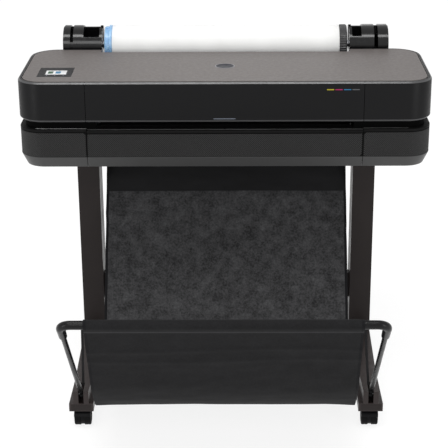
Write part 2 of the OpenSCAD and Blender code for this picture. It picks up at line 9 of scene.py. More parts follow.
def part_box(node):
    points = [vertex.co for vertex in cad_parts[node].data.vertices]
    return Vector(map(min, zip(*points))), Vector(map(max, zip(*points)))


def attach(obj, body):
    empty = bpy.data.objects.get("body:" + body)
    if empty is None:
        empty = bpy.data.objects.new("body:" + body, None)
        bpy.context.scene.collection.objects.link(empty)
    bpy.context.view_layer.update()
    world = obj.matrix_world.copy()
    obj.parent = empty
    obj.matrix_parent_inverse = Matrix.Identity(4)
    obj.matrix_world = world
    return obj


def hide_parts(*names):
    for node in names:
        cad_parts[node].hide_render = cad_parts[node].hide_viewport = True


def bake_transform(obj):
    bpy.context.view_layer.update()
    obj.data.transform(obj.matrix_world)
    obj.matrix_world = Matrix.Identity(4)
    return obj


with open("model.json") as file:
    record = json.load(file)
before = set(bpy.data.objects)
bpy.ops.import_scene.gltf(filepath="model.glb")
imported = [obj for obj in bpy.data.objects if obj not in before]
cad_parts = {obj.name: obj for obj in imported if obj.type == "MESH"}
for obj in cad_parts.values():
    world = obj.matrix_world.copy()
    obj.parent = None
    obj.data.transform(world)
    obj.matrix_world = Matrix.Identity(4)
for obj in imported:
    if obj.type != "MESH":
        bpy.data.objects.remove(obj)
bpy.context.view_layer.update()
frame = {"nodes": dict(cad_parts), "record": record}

# ---------- places, in millimetres, with Y measured from the printer's front face ----------
MM = 0.001
FRONT_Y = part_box("front_door")[0].y
BODY_OF = {n: b for b, names in frame["record"]["behaviour"]["bodies"].items() for n in names}


def place(x, y, z):
    """A point of the printer's own frame, in metres"""
    return Vector((x * MM, y * MM + FRONT_Y, z * MM))


def corners(node):
    """Lowest and highest corner of a CAD node, in the printer's own frame"""
    return [Vector((c.x, c.y - FRONT_Y, c.z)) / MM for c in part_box(node)]


def middle(node):
    """The middle of a CAD node's box"""
    lo, hi = corners(node)
    return (lo + hi) / 2


door_lo, door_hi = corners("front_door")
lower_lo, lower_hi = corners("lower_right_cover")
upper_lo, upper_hi = corners("upper_right_cover")
HALF_W = lower_hi.x
DEPTH = upper_hi.y
UNDER_Z = lower_lo.z
LOWER_Z = lower_hi.z
UPPER_Z = door_lo.z
RING_Z = door_hi.z
TOP_Z = corners("top_plate")[1].z
SEAM = lower_lo.x
SEAM_GAP = 2 * (SEAM - door_hi.x)
FRONT_R = 62
REAR_R = 70
WALL = 3
RING_W = 9
ROLL_Y, ROLL_Z = middle("paper_roll").yz
ROLL_R = (corners("paper_roll")[1].z - corners("paper_roll")[0].z) / 2
ROLL_HALF = corners("paper_roll")[1].x
STAND_X = middle("right_leg").x


# ---------- shapes ----------

class Shape:
    """The points and faces of one piece"""

    def __init__(self):
        self.points = []
        self.faces = []

    def add(self, points, faces):
        start = len(self.points)
        self.points += [tuple(p) for p in points]
        self.faces += [[start + i for i in face] for face in faces]
        return self

    def loft(self, rings, closed=False):
        """Skins a run of closed rings that all have the same number of points"""
        count = len(rings[0])
        total = len(rings)
        faces = []
        for j in range(total if closed else total - 1):
            a = j * count
            b = (j + 1) % total * count
            for i in range(count):
                k = (i + 1) % count
                faces.append([a + i, a + k, b + k, b + i])
        if not closed:
            faces.append(list(range(count))[::-1])
            faces.append([(total - 1) * count + i for i in range(count)])
        return self.add([p for ring in rings for p in ring], faces)

    def lathe(self, profile, centre, axis="x", steps=64):
        """Turns a closed profile of (along the axis, radius) about an axis through centre"""
        rings = []
        for k in range(steps):
            turn = 2 * math.pi * k / steps
            c, s = math.cos(turn), math.sin(turn)
            if axis == "x":
                rings.append([(centre[0] + a, centre[1] + r * c, centre[2] + r * s)
                              for a, r in profile])
            else:
                rings.append([(centre[0] + r * c, centre[1] + r * s, centre[2] + a)
                              for a, r in profile])
        return self.loft(rings, closed=True)

    def block(self, lo, hi, chamfer):
        """A box with chamfered edges, as rings that grow and shrink along Z"""
        x0, y0, z0 = lo
        x1, y1, z1 = hi
        c = min(chamfer, (x1 - x0) / 2.1, (y1 - y0) / 2.1, (z1 - z0) / 2.1)
        rings = []
        for z, d in ((z0, c), (z0 + c * 0.3, c * 0.3), (z0 + c, 0), (z1 - c, 0),
                     (z1 - c * 0.3, c * 0.3), (z1, c)):
            e = d + c
            rings.append([
                (x0 + d, y0 + e, z), (x0 + e, y0 + d, z), (x1 - e, y0 + d, z), (x1 - d, y0 + e, z),
                (x1 - d, y1 - e, z), (x1 - e, y1 - d, z), (x0 + e, y1 - d, z), (x0 + d, y1 - e, z)])
        return self.loft(rings)

    def tube(self, path, radius, steps=20, up=Vector((1, 0, 0))):
        """A round bar along a path; radius is a function of the point's number"""
        path = [Vector(p) for p in path]
        rings = []
        for j, p in enumerate(path):
            ahead = (path[min(j + 1, len(path) - 1)] - path[max(j - 1, 0)]).normalized()
            side = ahead.cross(up)
            if side.length < 0.1:
                side = ahead.cross(Vector((0, 0.6, 0.8)))
            side.normalize()
            other = ahead.cross(side)
            r = radius(j)
            rings.append([
                p + side * r * math.cos(2 * math.pi * k / steps)
                + other * r * math.sin(2 * math.pi * k / steps) for k in range(steps)])
        return self.loft(rings)


def rounded(polygon, steps=4):
    """A closed polygon of (a, b, radius) corners with each corner rounded"""
    done = []
    count = len(polygon)
    for i, (a, b, r) in enumerate(polygon):
        here = Vector((a, b))
        if r == 0:
            done.append((a, b))
            continue
        before = Vector(polygon[i - 1][:2]) - here
        after = Vector(polygon[(i + 1) % count][:2]) - here
        half = before.angle(after) / 2
        cut = min(r / math.tan(half), before.length * 0.49, after.length * 0.49)
        p, q = here + before.normalized() * cut, here + after.normalized() * cut
        for k in range(steps + 1):
            t = k / steps
            point = p * (1 - t) ** 2 + here * 2 * t * (1 - t) + q * t ** 2
            done.append((point.x, point.y))
    return done


def arc(centre, radius, first, last, steps):
    """Points of an arc, angles in degrees"""
    return [(centre[0] + radius * math.cos(math.radians(first + (last - first) * k / steps)),
             centre[1] + radius * math.sin(math.radians(first + (last - first) * k / steps)))
            for k in range(steps + 1)]


def clean(mesh, crease):
    """Joins doubled points, turns the faces outward, and keeps only real edges sharp"""
    bm = bmesh.new()
    bm.from_mesh(mesh)
    bmesh.ops.remove_doubles(bm, verts=bm.verts, dist=0.005 * MM)
    bmesh.ops.dissolve_degenerate(bm, edges=bm.edges, dist=0.002 * MM)
    bmesh.ops.recalc_face_normals(bm, faces=bm.faces)
    bm.to_mesh(mesh)
    bm.free()
    mesh.polygons.foreach_set("use_smooth", [True] * len(mesh.polygons))
    mesh.set_sharp_from_angle(angle=math.radians(crease))


def new_object(name, data):
    """An object of a mesh, lamp or camera, linked into the scene"""
    made = bpy.data.objects.new(name, data)
    bpy.context.scene.collection.objects.link(made)
    return made


def piece(name, shape, material, body, replaces=(), crease=35):
    """Makes an object of a shape, ties it to its body, gives it its finish, and hides the CAD nodes
    it stands for

    An edge stays sharp where it turns by more than crease, in degrees.
    """
    mesh = bpy.data.meshes.new(name)
    mesh.from_pydata([place(*p) for p in shape.points], [], shape.faces)
    clean(mesh, crease)
    mesh.materials.append(material)
    made = new_object(name, mesh)
    if body:
        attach(made, body)
    if replaces:
        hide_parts(*replaces)
    return made


def repaint(made, material, test):
    """Gives another material to the faces whose middle, in the printer's own frame, passes"""
    made.data.materials.append(material)
    index = len(made.data.materials) - 1
    for face in made.data.polygons:
        c = face.center
        if test(Vector((c.x, c.y - FRONT_Y, c.z)) / MM, face.normal):
            face.material_index = index


def soften(node, material, width, steps=3, angle=30):
    """A copy of a CAD node with its edges rounded, which stands for the node"""
    bm = bmesh.new()
    bm.from_mesh(frame["nodes"][node].data)
    bmesh.ops.remove_doubles(bm, verts=bm.verts, dist=0.01 * MM)
    bmesh.ops.dissolve_limit(bm, angle_limit=math.radians(0.5), verts=bm.verts, edges=bm.edges)
    bm.verts.index_update()
    points = [v.co.copy() for v in bm.verts]
    faces = [[v.index for v in f.verts] for f in bm.faces]
    bm.free()
    mesh = bpy.data.meshes.new(node + "_rounded")
    mesh.from_pydata(points, [], faces)
    clean(mesh, angle)
    mesh.materials.append(material)
    made = new_object(node + "_rounded", mesh)
    bevel = made.modifiers.new("rounding", "BEVEL")
    bevel.width = width * MM
    bevel.segments = steps
    bevel.limit_method = "ANGLE"
    bevel.angle_limit = math.radians(angle)
    bevel.miter_outer = "MITER_ARC"
    bevel.harden_normals = True
    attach(made, BODY_OF[node])
    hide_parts(node)
    return made


# ---------- materials ----------

def srgb(r, g, b):
    """A colour given as 0 to 255, made linear"""
    def linear(v):
        v /= 255
        return v / 12.92 if v <= 0.04045 else ((v + 0.055) / 1.055) ** 2.4
    return (linear(r), linear(g), linear(b), 1.0)


def fill(node, **values):
    """Sets a node's inputs by their names, with _ for each space"""
    for name, value in values.items():
        node.inputs[name.replace("_", " ")].default_value = value
    return node


class Finish:
    """A node material built from layers of procedural texture"""

    def __init__(self, name, rough=0.5, specular=0.5, metallic=0.0):
        self.material = bpy.data.materials.new(name)
        self.material.use_nodes = True
        self.tree = self.material.node_tree
        self.shader = fill(self.tree.nodes["Principled BSDF"], Roughness=rough,
                           Specular_IOR_Level=specular, Metallic=metallic)
        self.position = self.node("TexCoord").outputs["Object"]
        self.height = None

    def node(self, kind, **values):
        return fill(self.tree.nodes.new("ShaderNode" + kind), **values)

    def link(self, a, b):
        self.tree.links.new(a, b)

    def stretched(self, scale):
        node = self.node("Mapping", Scale=scale)
        self.link(self.position, node.inputs["Vector"])
        return node.outputs["Vector"]

    def noise(self, size_mm, detail=3.0, stretch=(1, 1, 1), roughness=0.5):
        node = self.node("TexNoise", Scale=1 / (size_mm * MM), Detail=detail,
                         Roughness=roughness)
        self.link(self.stretched(stretch), node.inputs["Vector"])
        return node.outputs["Fac"]

    def cells(self, size_mm, feature="F1"):
        node = self.node("TexVoronoi", Scale=1 / (size_mm * MM))
        node.feature = feature
        self.link(self.position, node.inputs["Vector"])
        return node.outputs["Distance"]

    def ramp(self, value, stops):
        node = self.node("ValToRGB")
        elements = node.color_ramp.elements
        for _ in range(len(stops) - 2):
            elements.new(0.5)
        for element, (at, colour) in zip(elements, stops):
            element.position = at
            element.color = colour
        self.link(value, node.inputs["Fac"])
        return node.outputs["Color"]

    def spread(self, value, low, high, start=0.3, stop=0.7):
        node = self.node("MapRange", From_Min=start, From_Max=stop, To_Min=low, To_Max=high)
        self.link(value, node.inputs["Value"])
        return node.outputs["Result"]

    def mix(self, share, a, b):
        node = self.node("Mix")
        node.data_type = "RGBA"
        for socket, value in ((node.inputs[0], share), (node.inputs[6], a), (node.inputs[7], b)):
            if hasattr(value, "node"):
                self.link(value, socket)
            else:
                socket.default_value = value
        return node.outputs[2]

    def colour(self, value):
        self.link(value, self.shader.inputs["Base Color"])
        return self

    def roughen(self, value, low, high):
        self.link(self.spread(value, low, high), self.shader.inputs["Roughness"])
        return self

    def bump(self, value, depth_mm, strength=1.0):
        node = self.node("Bump", Strength=strength, Distance=depth_mm * MM)
        self.link(value, node.inputs["Height"])
        if self.height:
            self.link(self.height, node.inputs["Normal"])
        self.height = node.outputs["Normal"]
        self.link(self.height, self.shader.inputs["Normal"])
        return self


def shade(colour, factor):
    return tuple(min(1.0, c * factor) for c in colour[:3]) + (1.0,)


def plastic(name, colour, grain_mm=0.7, grain=0.05, rough=0.5, specular=0.3, contrast=0.12):
    """Moulded plastic: fine spark-eroded grain, faint flow marks, slightly uneven gloss"""
    f = Finish(name, rough, specular)
    fine = f.noise(grain_mm, 3)
    broad = f.noise(60, 3)
    base = f.ramp(fine, [(0.3, shade(colour, 1 - contrast)), (0.7, shade(colour, 1 + contrast))])
    f.colour(f.mix(f.spread(broad, 0.0, 0.16), base, shade(colour, 1.3)))
    f.roughen(f.noise(9, 4), rough - 0.05, rough + 0.07)
    f.bump(fine, grain)
    return f.material


def powder_coat(name, colour, rough=0.45, specular=0.35):
    """Textured powder coat: small round orange-peel lumps and a few dull rubbed patches"""
    f = Finish(name, rough, specular)
    lumps = f.cells(1.3, "SMOOTH_F1")
    fine = f.noise(0.5, 2)
    base = f.ramp(fine, [(0.3, shade(colour, 0.85)), (0.7, shade(colour, 1.15))])
    f.colour(f.mix(f.spread(f.noise(45, 4), 0.0, 0.25), base, shade(colour, 1.35)))
    f.roughen(f.noise(25, 4), rough - 0.08, rough + 0.1)
    f.bump(lumps, 0.12, 0.6)
    f.bump(fine, 0.03)
    return f.material


def metal(name, colour, rough=0.32, stretch=(0.05, 1, 1)):
    """Drawn or brushed metal with streaks along one axis"""
    f = Finish(name, rough, 0.5, 1.0)
    streaks = f.noise(1.0, 5, stretch, 0.65)
    stain = f.noise(35, 3)
    base = f.ramp(streaks, [(0.3, shade(colour, 0.82)), (0.7, shade(colour, 1.1))])
    f.colour(f.mix(f.spread(stain, 0.0, 0.3), base, shade(colour, 0.7)))
    f.roughen(streaks, rough - 0.06, rough + 0.12)
    f.bump(streaks, 0.02)
    return f.material


def rubber(name, colour):
    """Dull rubber with a fine ground surface and grey bloom"""
    f = Finish(name, 0.75, 0.2)
    ground = f.noise(0.6, 4, (0.3, 1, 1))
    base = f.ramp(ground, [(0.3, shade(colour, 0.8)), (0.7, shade(colour, 1.3))])
    f.colour(f.mix(f.spread(f.noise(20, 4), 0.0, 0.3), base, shade(colour, 2.0)))
    f.roughen(f.noise(6, 3), 0.68, 0.85)
    f.bump(ground, 0.05)
    return f.material


def fabric(name, colour, mottle, rough=0.9, cloud_mm=28, crossing=0.25, sheen=0.12):
    """Spun-bonded cloth: pressed dots, loose fibres, and cloudy light and dark patches"""
    f = Finish(name, rough, 0.15)
    fibres = f.noise(0.9, 5, (1, 1, 0.35), 0.7)
    dots = f.cells(1.8)
    clouds = f.noise(cloud_mm, 6, roughness=0.68)
    specks = f.noise(5, 4, roughness=0.75)
    base = f.ramp(clouds, [(0.36, shade(colour, 1 - mottle)), (0.5, colour),
                           (0.66, shade(colour, 1 + 1.5 * mottle))])
    flecked = f.ramp(specks, [(0.38, shade(colour, 1 - mottle)),
                              (0.66, shade(colour, 1 + 1.6 * mottle))])
    both = f.mix(0.5, base, flecked)
    f.colour(f.mix(f.spread(dots, crossing, 0.0, 0.1, 0.5), both, shade(colour, 0.5)))
    f.roughen(fibres, rough - 0.06, min(rough + 0.06, 1.0))
    fill(f.shader, Sheen_Weight=sheen, Sheen_Roughness=0.5)
    f.bump(fibres, 0.12)
    f.bump(dots, 0.12, 0.5)
    return f.material


def paper_finish():
    """Coated paper wound tight: faint hoop lines and a slightly uneven white"""
    f = Finish("roll_paper", 0.62, 0.3)
    fibre = f.noise(1.2, 5)
    hoops = f.noise(3, 3, (1, 0.02, 0.02))
    tone = f.ramp(f.noise(70, 3), [(0.3, srgb(222, 222, 221)), (0.7, srgb(229, 229, 228))])
    f.colour(f.mix(f.spread(fibre, 0.0, 0.08), tone, srgb(218, 218, 215)))
    f.roughen(fibre, 0.56, 0.7)
    f.bump(hoops, 0.05, 0.5)
    f.bump(fibre, 0.01)
    return f.material


def paper_edge_finish():
    """The wound end of the roll: fine rings of paper edges"""
    f = Finish("roll_paper_edge", 0.8, 0.2)
    wound = f.node("TexWave", Scale=120, Distortion=1.5, Detail=3)
    wound.wave_type = "RINGS"
    wound.rings_direction = "X"
    moved = f.node("Mapping", Location=-place(0, ROLL_Y, ROLL_Z))
    f.link(f.position, moved.inputs["Vector"])
    f.link(moved.outputs["Vector"], wound.inputs["Vector"])
    f.colour(f.ramp(wound.outputs["Fac"], [(0.2, srgb(212, 211, 207)), (0.8, srgb(240, 240, 238))]))
    f.roughen(f.noise(4, 3), 0.72, 0.88)
    f.bump(wound.outputs["Fac"], 0.06)
    return f.material


def blue_finish():
    """Translucent tinted plastic with soft flow lines"""
    f = Finish("blue_translucent", 0.22, 0.5)
    flow = f.noise(14, 3)
    f.colour(f.ramp(flow, [(0.3, srgb(122, 174, 224)), (0.7, srgb(170, 208, 240))]))
    f.roughen(f.noise(3, 3), 0.16, 0.3)
    fill(f.shader, Transmission_Weight=0.25, Subsurface_Weight=0.25,
         Subsurface_Radius=(0.004, 0.006, 0.01))
    f.bump(flow, 0.05)
    return f.material


def screen_finish(name, colour, glow):
    """Lit display: a pixel-fine pattern under smooth glass"""
    f = Finish(name, 0.3, 0.15)
    cells = f.noise(1.2, 2)
    tone = f.ramp(cells, [(0.3, shade(colour, 0.96)), (0.7, shade(colour, 1.03))])
    f.colour(tone)
    f.link(tone, f.shader.inputs["Emission Color"])
    fill(f.shader, Emission_Strength=glow)
    f.roughen(f.noise(8, 3), 0.25, 0.4)
    return f.material


def board_finish():
    """Circuit board: green mask over a maze of tracks"""
    f = Finish("circuit_board_green", 0.35, 0.5)
    tracks = f.cells(7, "DISTANCE_TO_EDGE")
    mask = f.ramp(tracks, [(0.04, srgb(30, 92, 56)), (0.08, srgb(18, 62, 38))])
    f.colour(f.mix(f.spread(f.noise(3, 3), 0.0, 0.2), mask, srgb(60, 110, 70)))
    f.roughen(f.noise(5, 3), 0.28, 0.45)
    f.bump(tracks, 0.05)
    return f.material


# What the numbers after each name and colour are:
#   plastic: size and depth of the grain in mm, roughness, specular, contrast
#   powder_coat: roughness, specular; metal: roughness, stretch of the streaks
#   fabric: mottle, roughness, size of the clouds in mm, darkening between dots, sheen
UPPER_DARK = srgb(15, 15, 16)
LOWER_DARK = srgb(36, 36, 36)
STAND_BROWN = srgb(33, 28, 27)
FOOT_BROWN = srgb(40, 33, 32)
TUBE_GREY = srgb(13, 13, 14)

upper_plastic = plastic("upper_cover_grain", UPPER_DARK, 0.6, 0.04, 0.4, 0.13)
# painted highlight: a lighter grey for the bevelled shoulder along the top edge
shoulder_painted_highlight = plastic("upper_cover_shoulder_painted_highlight", srgb(58, 58, 59), 0.5, 0.02, 0.32, 0.6)
lower_plastic = plastic("lower_cover_grain", LOWER_DARK, 0.5, 0.04, 0.5, 0.13)
rib_plastic = plastic("lower_cover_rib", srgb(50, 50, 50), 0.5, 0.03, 0.45, 0.2)
# painted shade: near-black for the valleys between the ribs and the groove above them
valley_painted_shade = plastic("lower_cover_valley_painted_shade", srgb(10, 10, 10), 0.5, 0.04, 0.6, 0.05)
# painted light: a lighter, smoother grey for the chamfer, which faces down towards the floor's
# light
chamfer_painted_light = plastic("lower_cover_smooth_painted_light", srgb(62, 62, 62), 0.5, 0.02, 0.38, 0.3)
# painted shade: a near-black ledge under the overhang of the upper cover
ledge_painted_shade = plastic("lower_cover_ledge_painted_shade", srgb(14, 14, 14), 0.5, 0.02, 0.5, 0.06)
# painted highlights: a pale line along the ledge's rear edge, brighter at its left end
edge_painted_highlight = plastic("ledge_rear_edge_painted_highlight", srgb(118, 118, 118), 0.5, 0.02, 0.4, 0.3)
edge_painted_bright_highlight = plastic("bright_ledge_edge_painted_highlight", srgb(225, 225, 225), 0.5, 0.02, 0.4, 0.3)
# painted light: a lighter grey for the rounded lower lip, which faces down towards the floor's
# light
lip_painted_light = plastic("upper_cover_lip_painted_light", srgb(74, 74, 75), 0.5, 0.02, 0.4, 0.4)
plate_plastic = plastic("top_plate_grain", srgb(93, 88, 86), 1.1, 0.1, 0.5, 0.3, 0.1)
black_plastic = plastic("black_moulded", srgb(14, 14, 15), 0.7, 0.05, 0.5, 0.15)
# painted shade: near-black for the waist recess, the vent openings and the socket mouths, where
# only shade is seen
void_painted_shade = plastic("waist_black_painted_shade", srgb(4, 4, 4), 0.8, 0.05, 0.8, 0.04)
bezel_plastic = plastic("display_bezel_satin", srgb(16, 16, 19), 0.4, 0.02, 0.45, 0.12)
holder_plastic = plastic("holder_semi_gloss", srgb(8, 8, 9), 0.5, 0.01, 0.15, 0.4)
knurl_plastic = plastic("knurled_rim", srgb(52, 52, 53), 0.5, 0.02, 0.35, 0.4)
hood_plastic = plastic("caster_nylon", srgb(8, 8, 10), 0.8, 0.05, 0.42, 0.12)
wheel_plastic = plastic("caster_tread", srgb(8, 8, 9), 1.2, 0.1, 0.55, 0.1)
leg_coat = powder_coat("stand_powder_coat", STAND_BROWN, 0.42, 0.2)
foot_coat = powder_coat("foot_powder_coat", FOOT_BROWN, 0.38, 0.3)
tube_coat = powder_coat("tube_satin_coat", TUBE_GREY, 0.26, 0.2)
steel = metal("galvanised_steel", srgb(178, 180, 184))
motor_steel = metal("motor_can", srgb(140, 142, 146), 0.3, (1, 0.05, 1))
aluminium = metal("machined_aluminium", srgb(205, 206, 208), 0.25, (1, 1, 0.1))
brass = metal("brass_gear", srgb(205, 172, 98), 0.3)
screw_steel = metal("zinc_screws", srgb(150, 152, 155), 0.3, (1, 1, 1))
belt_black = rubber("belt_rubber_black", srgb(26, 26, 26))
roller_black = rubber("roller_rubber_grey", srgb(54, 54, 56))
nylon = plastic("acetal_natural", srgb(226, 222, 210), 1.0, 0.04, 0.4, 0.4, 0.04)
ink_black = plastic("cartridge_shell", srgb(28, 28, 30), 0.5, 0.03, 0.32, 0.4)
core_card = plastic("roll_core_card", srgb(176, 146, 108), 1.6, 0.12, 0.85, 0.1, 0.18)
sling_cloth = fabric("sling_nonwoven", srgb(50, 50, 51), 0.75)
band_cloth = fabric("sling_smooth_band", srgb(22, 22, 23), 0.1, 0.75, 60, 0.1)
panel_cloth = fabric("sling_front_panel", srgb(25, 25, 26), 0.2, 0.95, 40, 0.15, 0.02)
stitch_cloth = fabric("sling_stitching", srgb(36, 36, 38), 0.2, 0.9, 20, 0.1, 0.06)
hem_cloth = fabric("sling_hem", srgb(16, 16, 18), 0.15, 0.9, 30, 0.2, 0.02)
paper_white = paper_finish()
paper_edge = paper_edge_finish()
blue_plastic = blue_finish()


# ---------- printer covers ----------

def outline(x_front, x_back):
    """Points round the right-hand end of the printer: (x, y, outward x, outward y, distance)"""
    spots = [(x_front, 0, 0, -1)]
    fx, rx = HALF_W - FRONT_R, HALF_W - REAR_R
    for x, y in arc((0, 0), 1, -90, 0, 20):
        spots.append((fx + FRONT_R * x, FRONT_R + FRONT_R * y, x, y))
    for x, y in arc((0, 0), 1, 0, 90, 16):
        spots.append((rx + REAR_R * x, DEPTH - REAR_R + REAR_R * y, x, y))
    spots.append((x_back, DEPTH, 0, 1))
    return with_distance(spots)


def front_line(x0, x1):
    """The straight path along the front face"""
    return with_distance([(x0, 0, 0, -1), (x1, 0, 0, -1)])


def with_distance(spots):
    """Adds to each point how far along the path it is"""
    run = 0
    done = []
    for i, s in enumerate(spots):
        if i:
            run += math.hypot(s[0] - spots[i - 1][0], s[1] - spots[i - 1][1])
        done.append(s + (run,))
    return done


def flipped(spots):
    """The same path on the left-hand side"""
    return [(-x, y, -nx, ny, d) for x, y, nx, ny, d in spots]


def sweep(section, spots):
    """Carries a closed section of (inset from the outer face, height) along a path"""
    rings = [[(x - nx * inset, y - ny * inset, z) for inset, z in section]
             for x, y, nx, ny, d in spots]
    return Shape().loft(rings)


CHAMFER_TOP = UNDER_Z + 27
LEDGE_FRONT, LEDGE_BACK = 11, 17
# how far the painted highlights on the ledge's rear edge reach, in mm from the middle
EDGE_END, LIT_EDGE_END = HALF_W - 60, HALF_W - 40
RIB_LOW = UNDER_Z + 30
RIB_HIGH = LOWER_Z - 8
RIB_PITCH = 5
RIB_DEPTH = 1.0
# a rib's section, as (along the cover, inset from the floor of the sunk band)
RIB_SECTION = ((-1.75, 0.2), (-0.75, -0.9), (0.75, -0.9), (1.75, 0.2))
RIB_END_GAP = 2
RIB_SHORTEST = 4
RIB_ROW = 7


def lower_section(drop):
    """Lower cover: chamfer, sunk band for the ribs, groove, then a rounded ledge"""
    top = LOWER_Z - drop
    return rounded([
        (13, UNDER_Z, 1), (0, CHAMFER_TOP, 4), (0, RIB_LOW - 0.6, 0), (RIB_DEPTH, RIB_LOW, 0),
        (RIB_DEPTH, RIB_HIGH - drop, 0), (2.2, RIB_HIGH + 0.4 - drop, 0.3),
        (2.2, RIB_HIGH + 1.9 - drop, 0.3), (0, RIB_HIGH + 2.3 - drop, 0.5), (0, top, 2.2),
        (LEDGE_FRONT, top, 0), (LEDGE_BACK - 1, top, 1), (LEDGE_BACK - 1, top - WALL, 0),
        (WALL, top - WALL, 0), (WALL, CHAMFER_TOP + 0.6, 0), (16.5, UNDER_Z, 0)])


def ribs(spots, drop):
    """Slanting ribs in the sunk band, each a closed bar that climbs at 45 degrees"""
    shape = Shape()
    length = spots[-1][4]
    z0, z1 = RIB_LOW + 0.2, RIB_HIGH - drop - 0.2
    straight = len(spots) == 2

    def on_path(distance):
        for a, b in zip(spots, spots[1:]):
            if distance <= b[4]:
                break
        t = (distance - a[4]) / (b[4] - a[4])
        return [a[i] + (b[i] - a[i]) * t for i in range(4)]

    for k in range(-int((z1 - z0) / RIB_PITCH), int(length / RIB_PITCH) + 1):
        foot = k * RIB_PITCH
        low = max(0, RIB_END_GAP - foot)
        high = min(z1 - z0, length - foot - RIB_END_GAP)
        if high - low < RIB_SHORTEST:
            continue
        rows = 1 if straight else max(1, int((high - low) / RIB_ROW))
        rings = []
        for j in range(rows + 1):
            climb = low + (high - low) * j / rows
            ring = []
            for along, out in RIB_SECTION:
                x, y, nx, ny = on_path(min(max(foot + climb + along, 0), length))
                inset = RIB_DEPTH + out
                ring.append((x - nx * inset, y - ny * inset, z0 + climb))
            rings.append(ring)
        shape.loft(rings)
    return shape


def upper_section(inner):
    """Upper cover: rounded lower lip, upright face, bevelled shoulder and the ring on top"""
    return rounded([
        (5, UPPER_Z, 1.5), (0, UPPER_Z + 5, 4), (0, RING_Z - 4, 1.2), (3.6, RING_Z, 0.8),
        (inner, RING_Z, 0.8), (inner, RING_Z - 2.6, 0), (inner + 6, RING_Z - 2.6, 0),
        (inner + 6, RING_Z - 5, 0), (WALL, RING_Z - 5, 0), (WALL, UPPER_Z + WALL, 0),
        (18, UPPER_Z + WALL, 0), (18, UPPER_Z, 0)])


def lower_look(shell, drop):
    """Painted light and shade: a lighter smooth chamfer as painted light, a darker ledge as painted
    shade with a painted highlight along its rear edge, and painted shade in the valleys and groove
    of the ribs
    """
    def on_edge(c, n):
        return n.z > 0.8 and LEDGE_FRONT < c.y < LEDGE_BACK

    repaint(shell, chamfer_painted_light, lambda c, n: c.z < CHAMFER_TOP + 1.5)
    repaint(shell, ledge_painted_shade, lambda c, n: c.z > RIB_HIGH + 2.1 - drop)
    repaint(shell, edge_painted_highlight, lambda c, n: on_edge(c, n) and abs(c.x) < EDGE_END)
    repaint(shell, edge_painted_bright_highlight, lambda c, n: on_edge(c, n) and -LIT_EDGE_END < c.x < -SEAM)
    repaint(shell, valley_painted_shade,
            lambda c, n: RIB_LOW - 0.1 < c.z < RIB_HIGH + 2.1 - drop)


def upper_look(shell):
    """Painted highlights: the bevelled shoulder and the rounded lower lip get a lighter paint where
    they catch the light
    """
    repaint(shell, shoulder_painted_highlight,
            lambda c, n: RING_Z - 4.4 < c.z < RING_Z and 0.45 < n.z < 0.97)
    repaint(shell, lip_painted_light, lambda c, n: c.z < UPPER_Z + 5 and -0.85 < n.z < -0.1)


def printer_covers():
    """The ribbed lower covers, and the upper covers and front door above the dark waist"""
    half_gap = SEAM_GAP / 2
    centre_drop = LOWER_Z - corners("lower_front_cover")[1].z
    centre = front_line(-SEAM + half_gap, SEAM - half_gap)
    lower_look(piece("lower_front_shell", sweep(lower_section(centre_drop), centre),
                     lower_plastic, "frame", ["lower_front_cover"]),
               centre_drop)
    piece("lower_front_ribs", ribs(centre, centre_drop), rib_plastic, "frame")
    for side, flip in (("right", False), ("left", True)):
        low_path = outline(SEAM + half_gap, SEAM)
        top_path = outline(SEAM + half_gap, upper_lo.x)
        if flip:
            low_path, top_path = flipped(low_path), flipped(top_path)
        lower_look(piece(f"lower_{side}_shell", sweep(lower_section(0), low_path), lower_plastic,
                         "frame", [f"lower_{side}_cover"]), 0)
        piece(f"lower_{side}_ribs", ribs(low_path, 0), rib_plastic, "frame")
        upper_look(piece(f"upper_{side}_shell", sweep(upper_section(RING_W), top_path),
                         upper_plastic, "frame", [f"upper_{side}_cover"]))
    upper_look(piece("front_door_shell", sweep(upper_section(RING_W - 0.2), centre),
                     upper_plastic, "front_door", ["front_door"]))


def door_marks():
    """Four ink colour dashes, and a small grip line near the door's lower edge"""
    first_x, pitch, dash = 247, 20.5, 17.5
    dash_low, dash_high = 860.6, 863.2
    colours = {"yellow": srgb(150, 138, 20), "magenta": srgb(140, 18, 78),
               "cyan": srgb(28, 92, 128), "grey": srgb(74, 75, 77)}
    for k, (name, colour) in enumerate(colours.items()):
        x = first_x + pitch * k
        shape = Shape().block((x, -0.35, dash_low), (x + dash, 0.4, dash_high), 0.35)
        piece(f"ink_mark_{name}", shape, plastic(f"ink_mark_{name}_paint", colour, 0.8, 0.02, 0.5),
              "front_door")
    grip_half, grip_low, grip_high = 27, 788.6, 790.8
    grip = Shape().block((-grip_half, -0.5, grip_low), (grip_half, 0.4, grip_high), 0.5)
    piece("door_grip_line", grip, plastic("grip_grey", srgb(92, 98, 108), 0.5, 0.02, 0.4, 0.4),
          "front_door")


def badge():
    """A plain round badge with a raised rim, let into the top plate"""
    centre = (0, 157, TOP_Z)
    radius = 25
    rim_foot, rim_top = radius - 3.4, radius - 2.6
    sunk, face, raised = -0.6, 0.25, 0.55
    disc = rounded([(sunk, 0, 0), (face, 0, 0), (face, rim_foot, 0), (raised, rim_top, 0.2),
                    (raised, radius - 0.4, 0.3), (sunk, radius, 0)], 3)
    made = piece("round_badge", Shape().lathe(disc, centre, "z", 72),
                 plastic("badge_navy", srgb(24, 26, 36), 0.5, 0.01, 0.45, 0.14), "frame")
    repaint(made, plastic("badge_rim", srgb(108, 106, 110), 0.5, 0.01, 0.35, 0.4),
            lambda c, n: math.hypot(c.x - centre[0], c.y - centre[1]) > radius - 2.8)


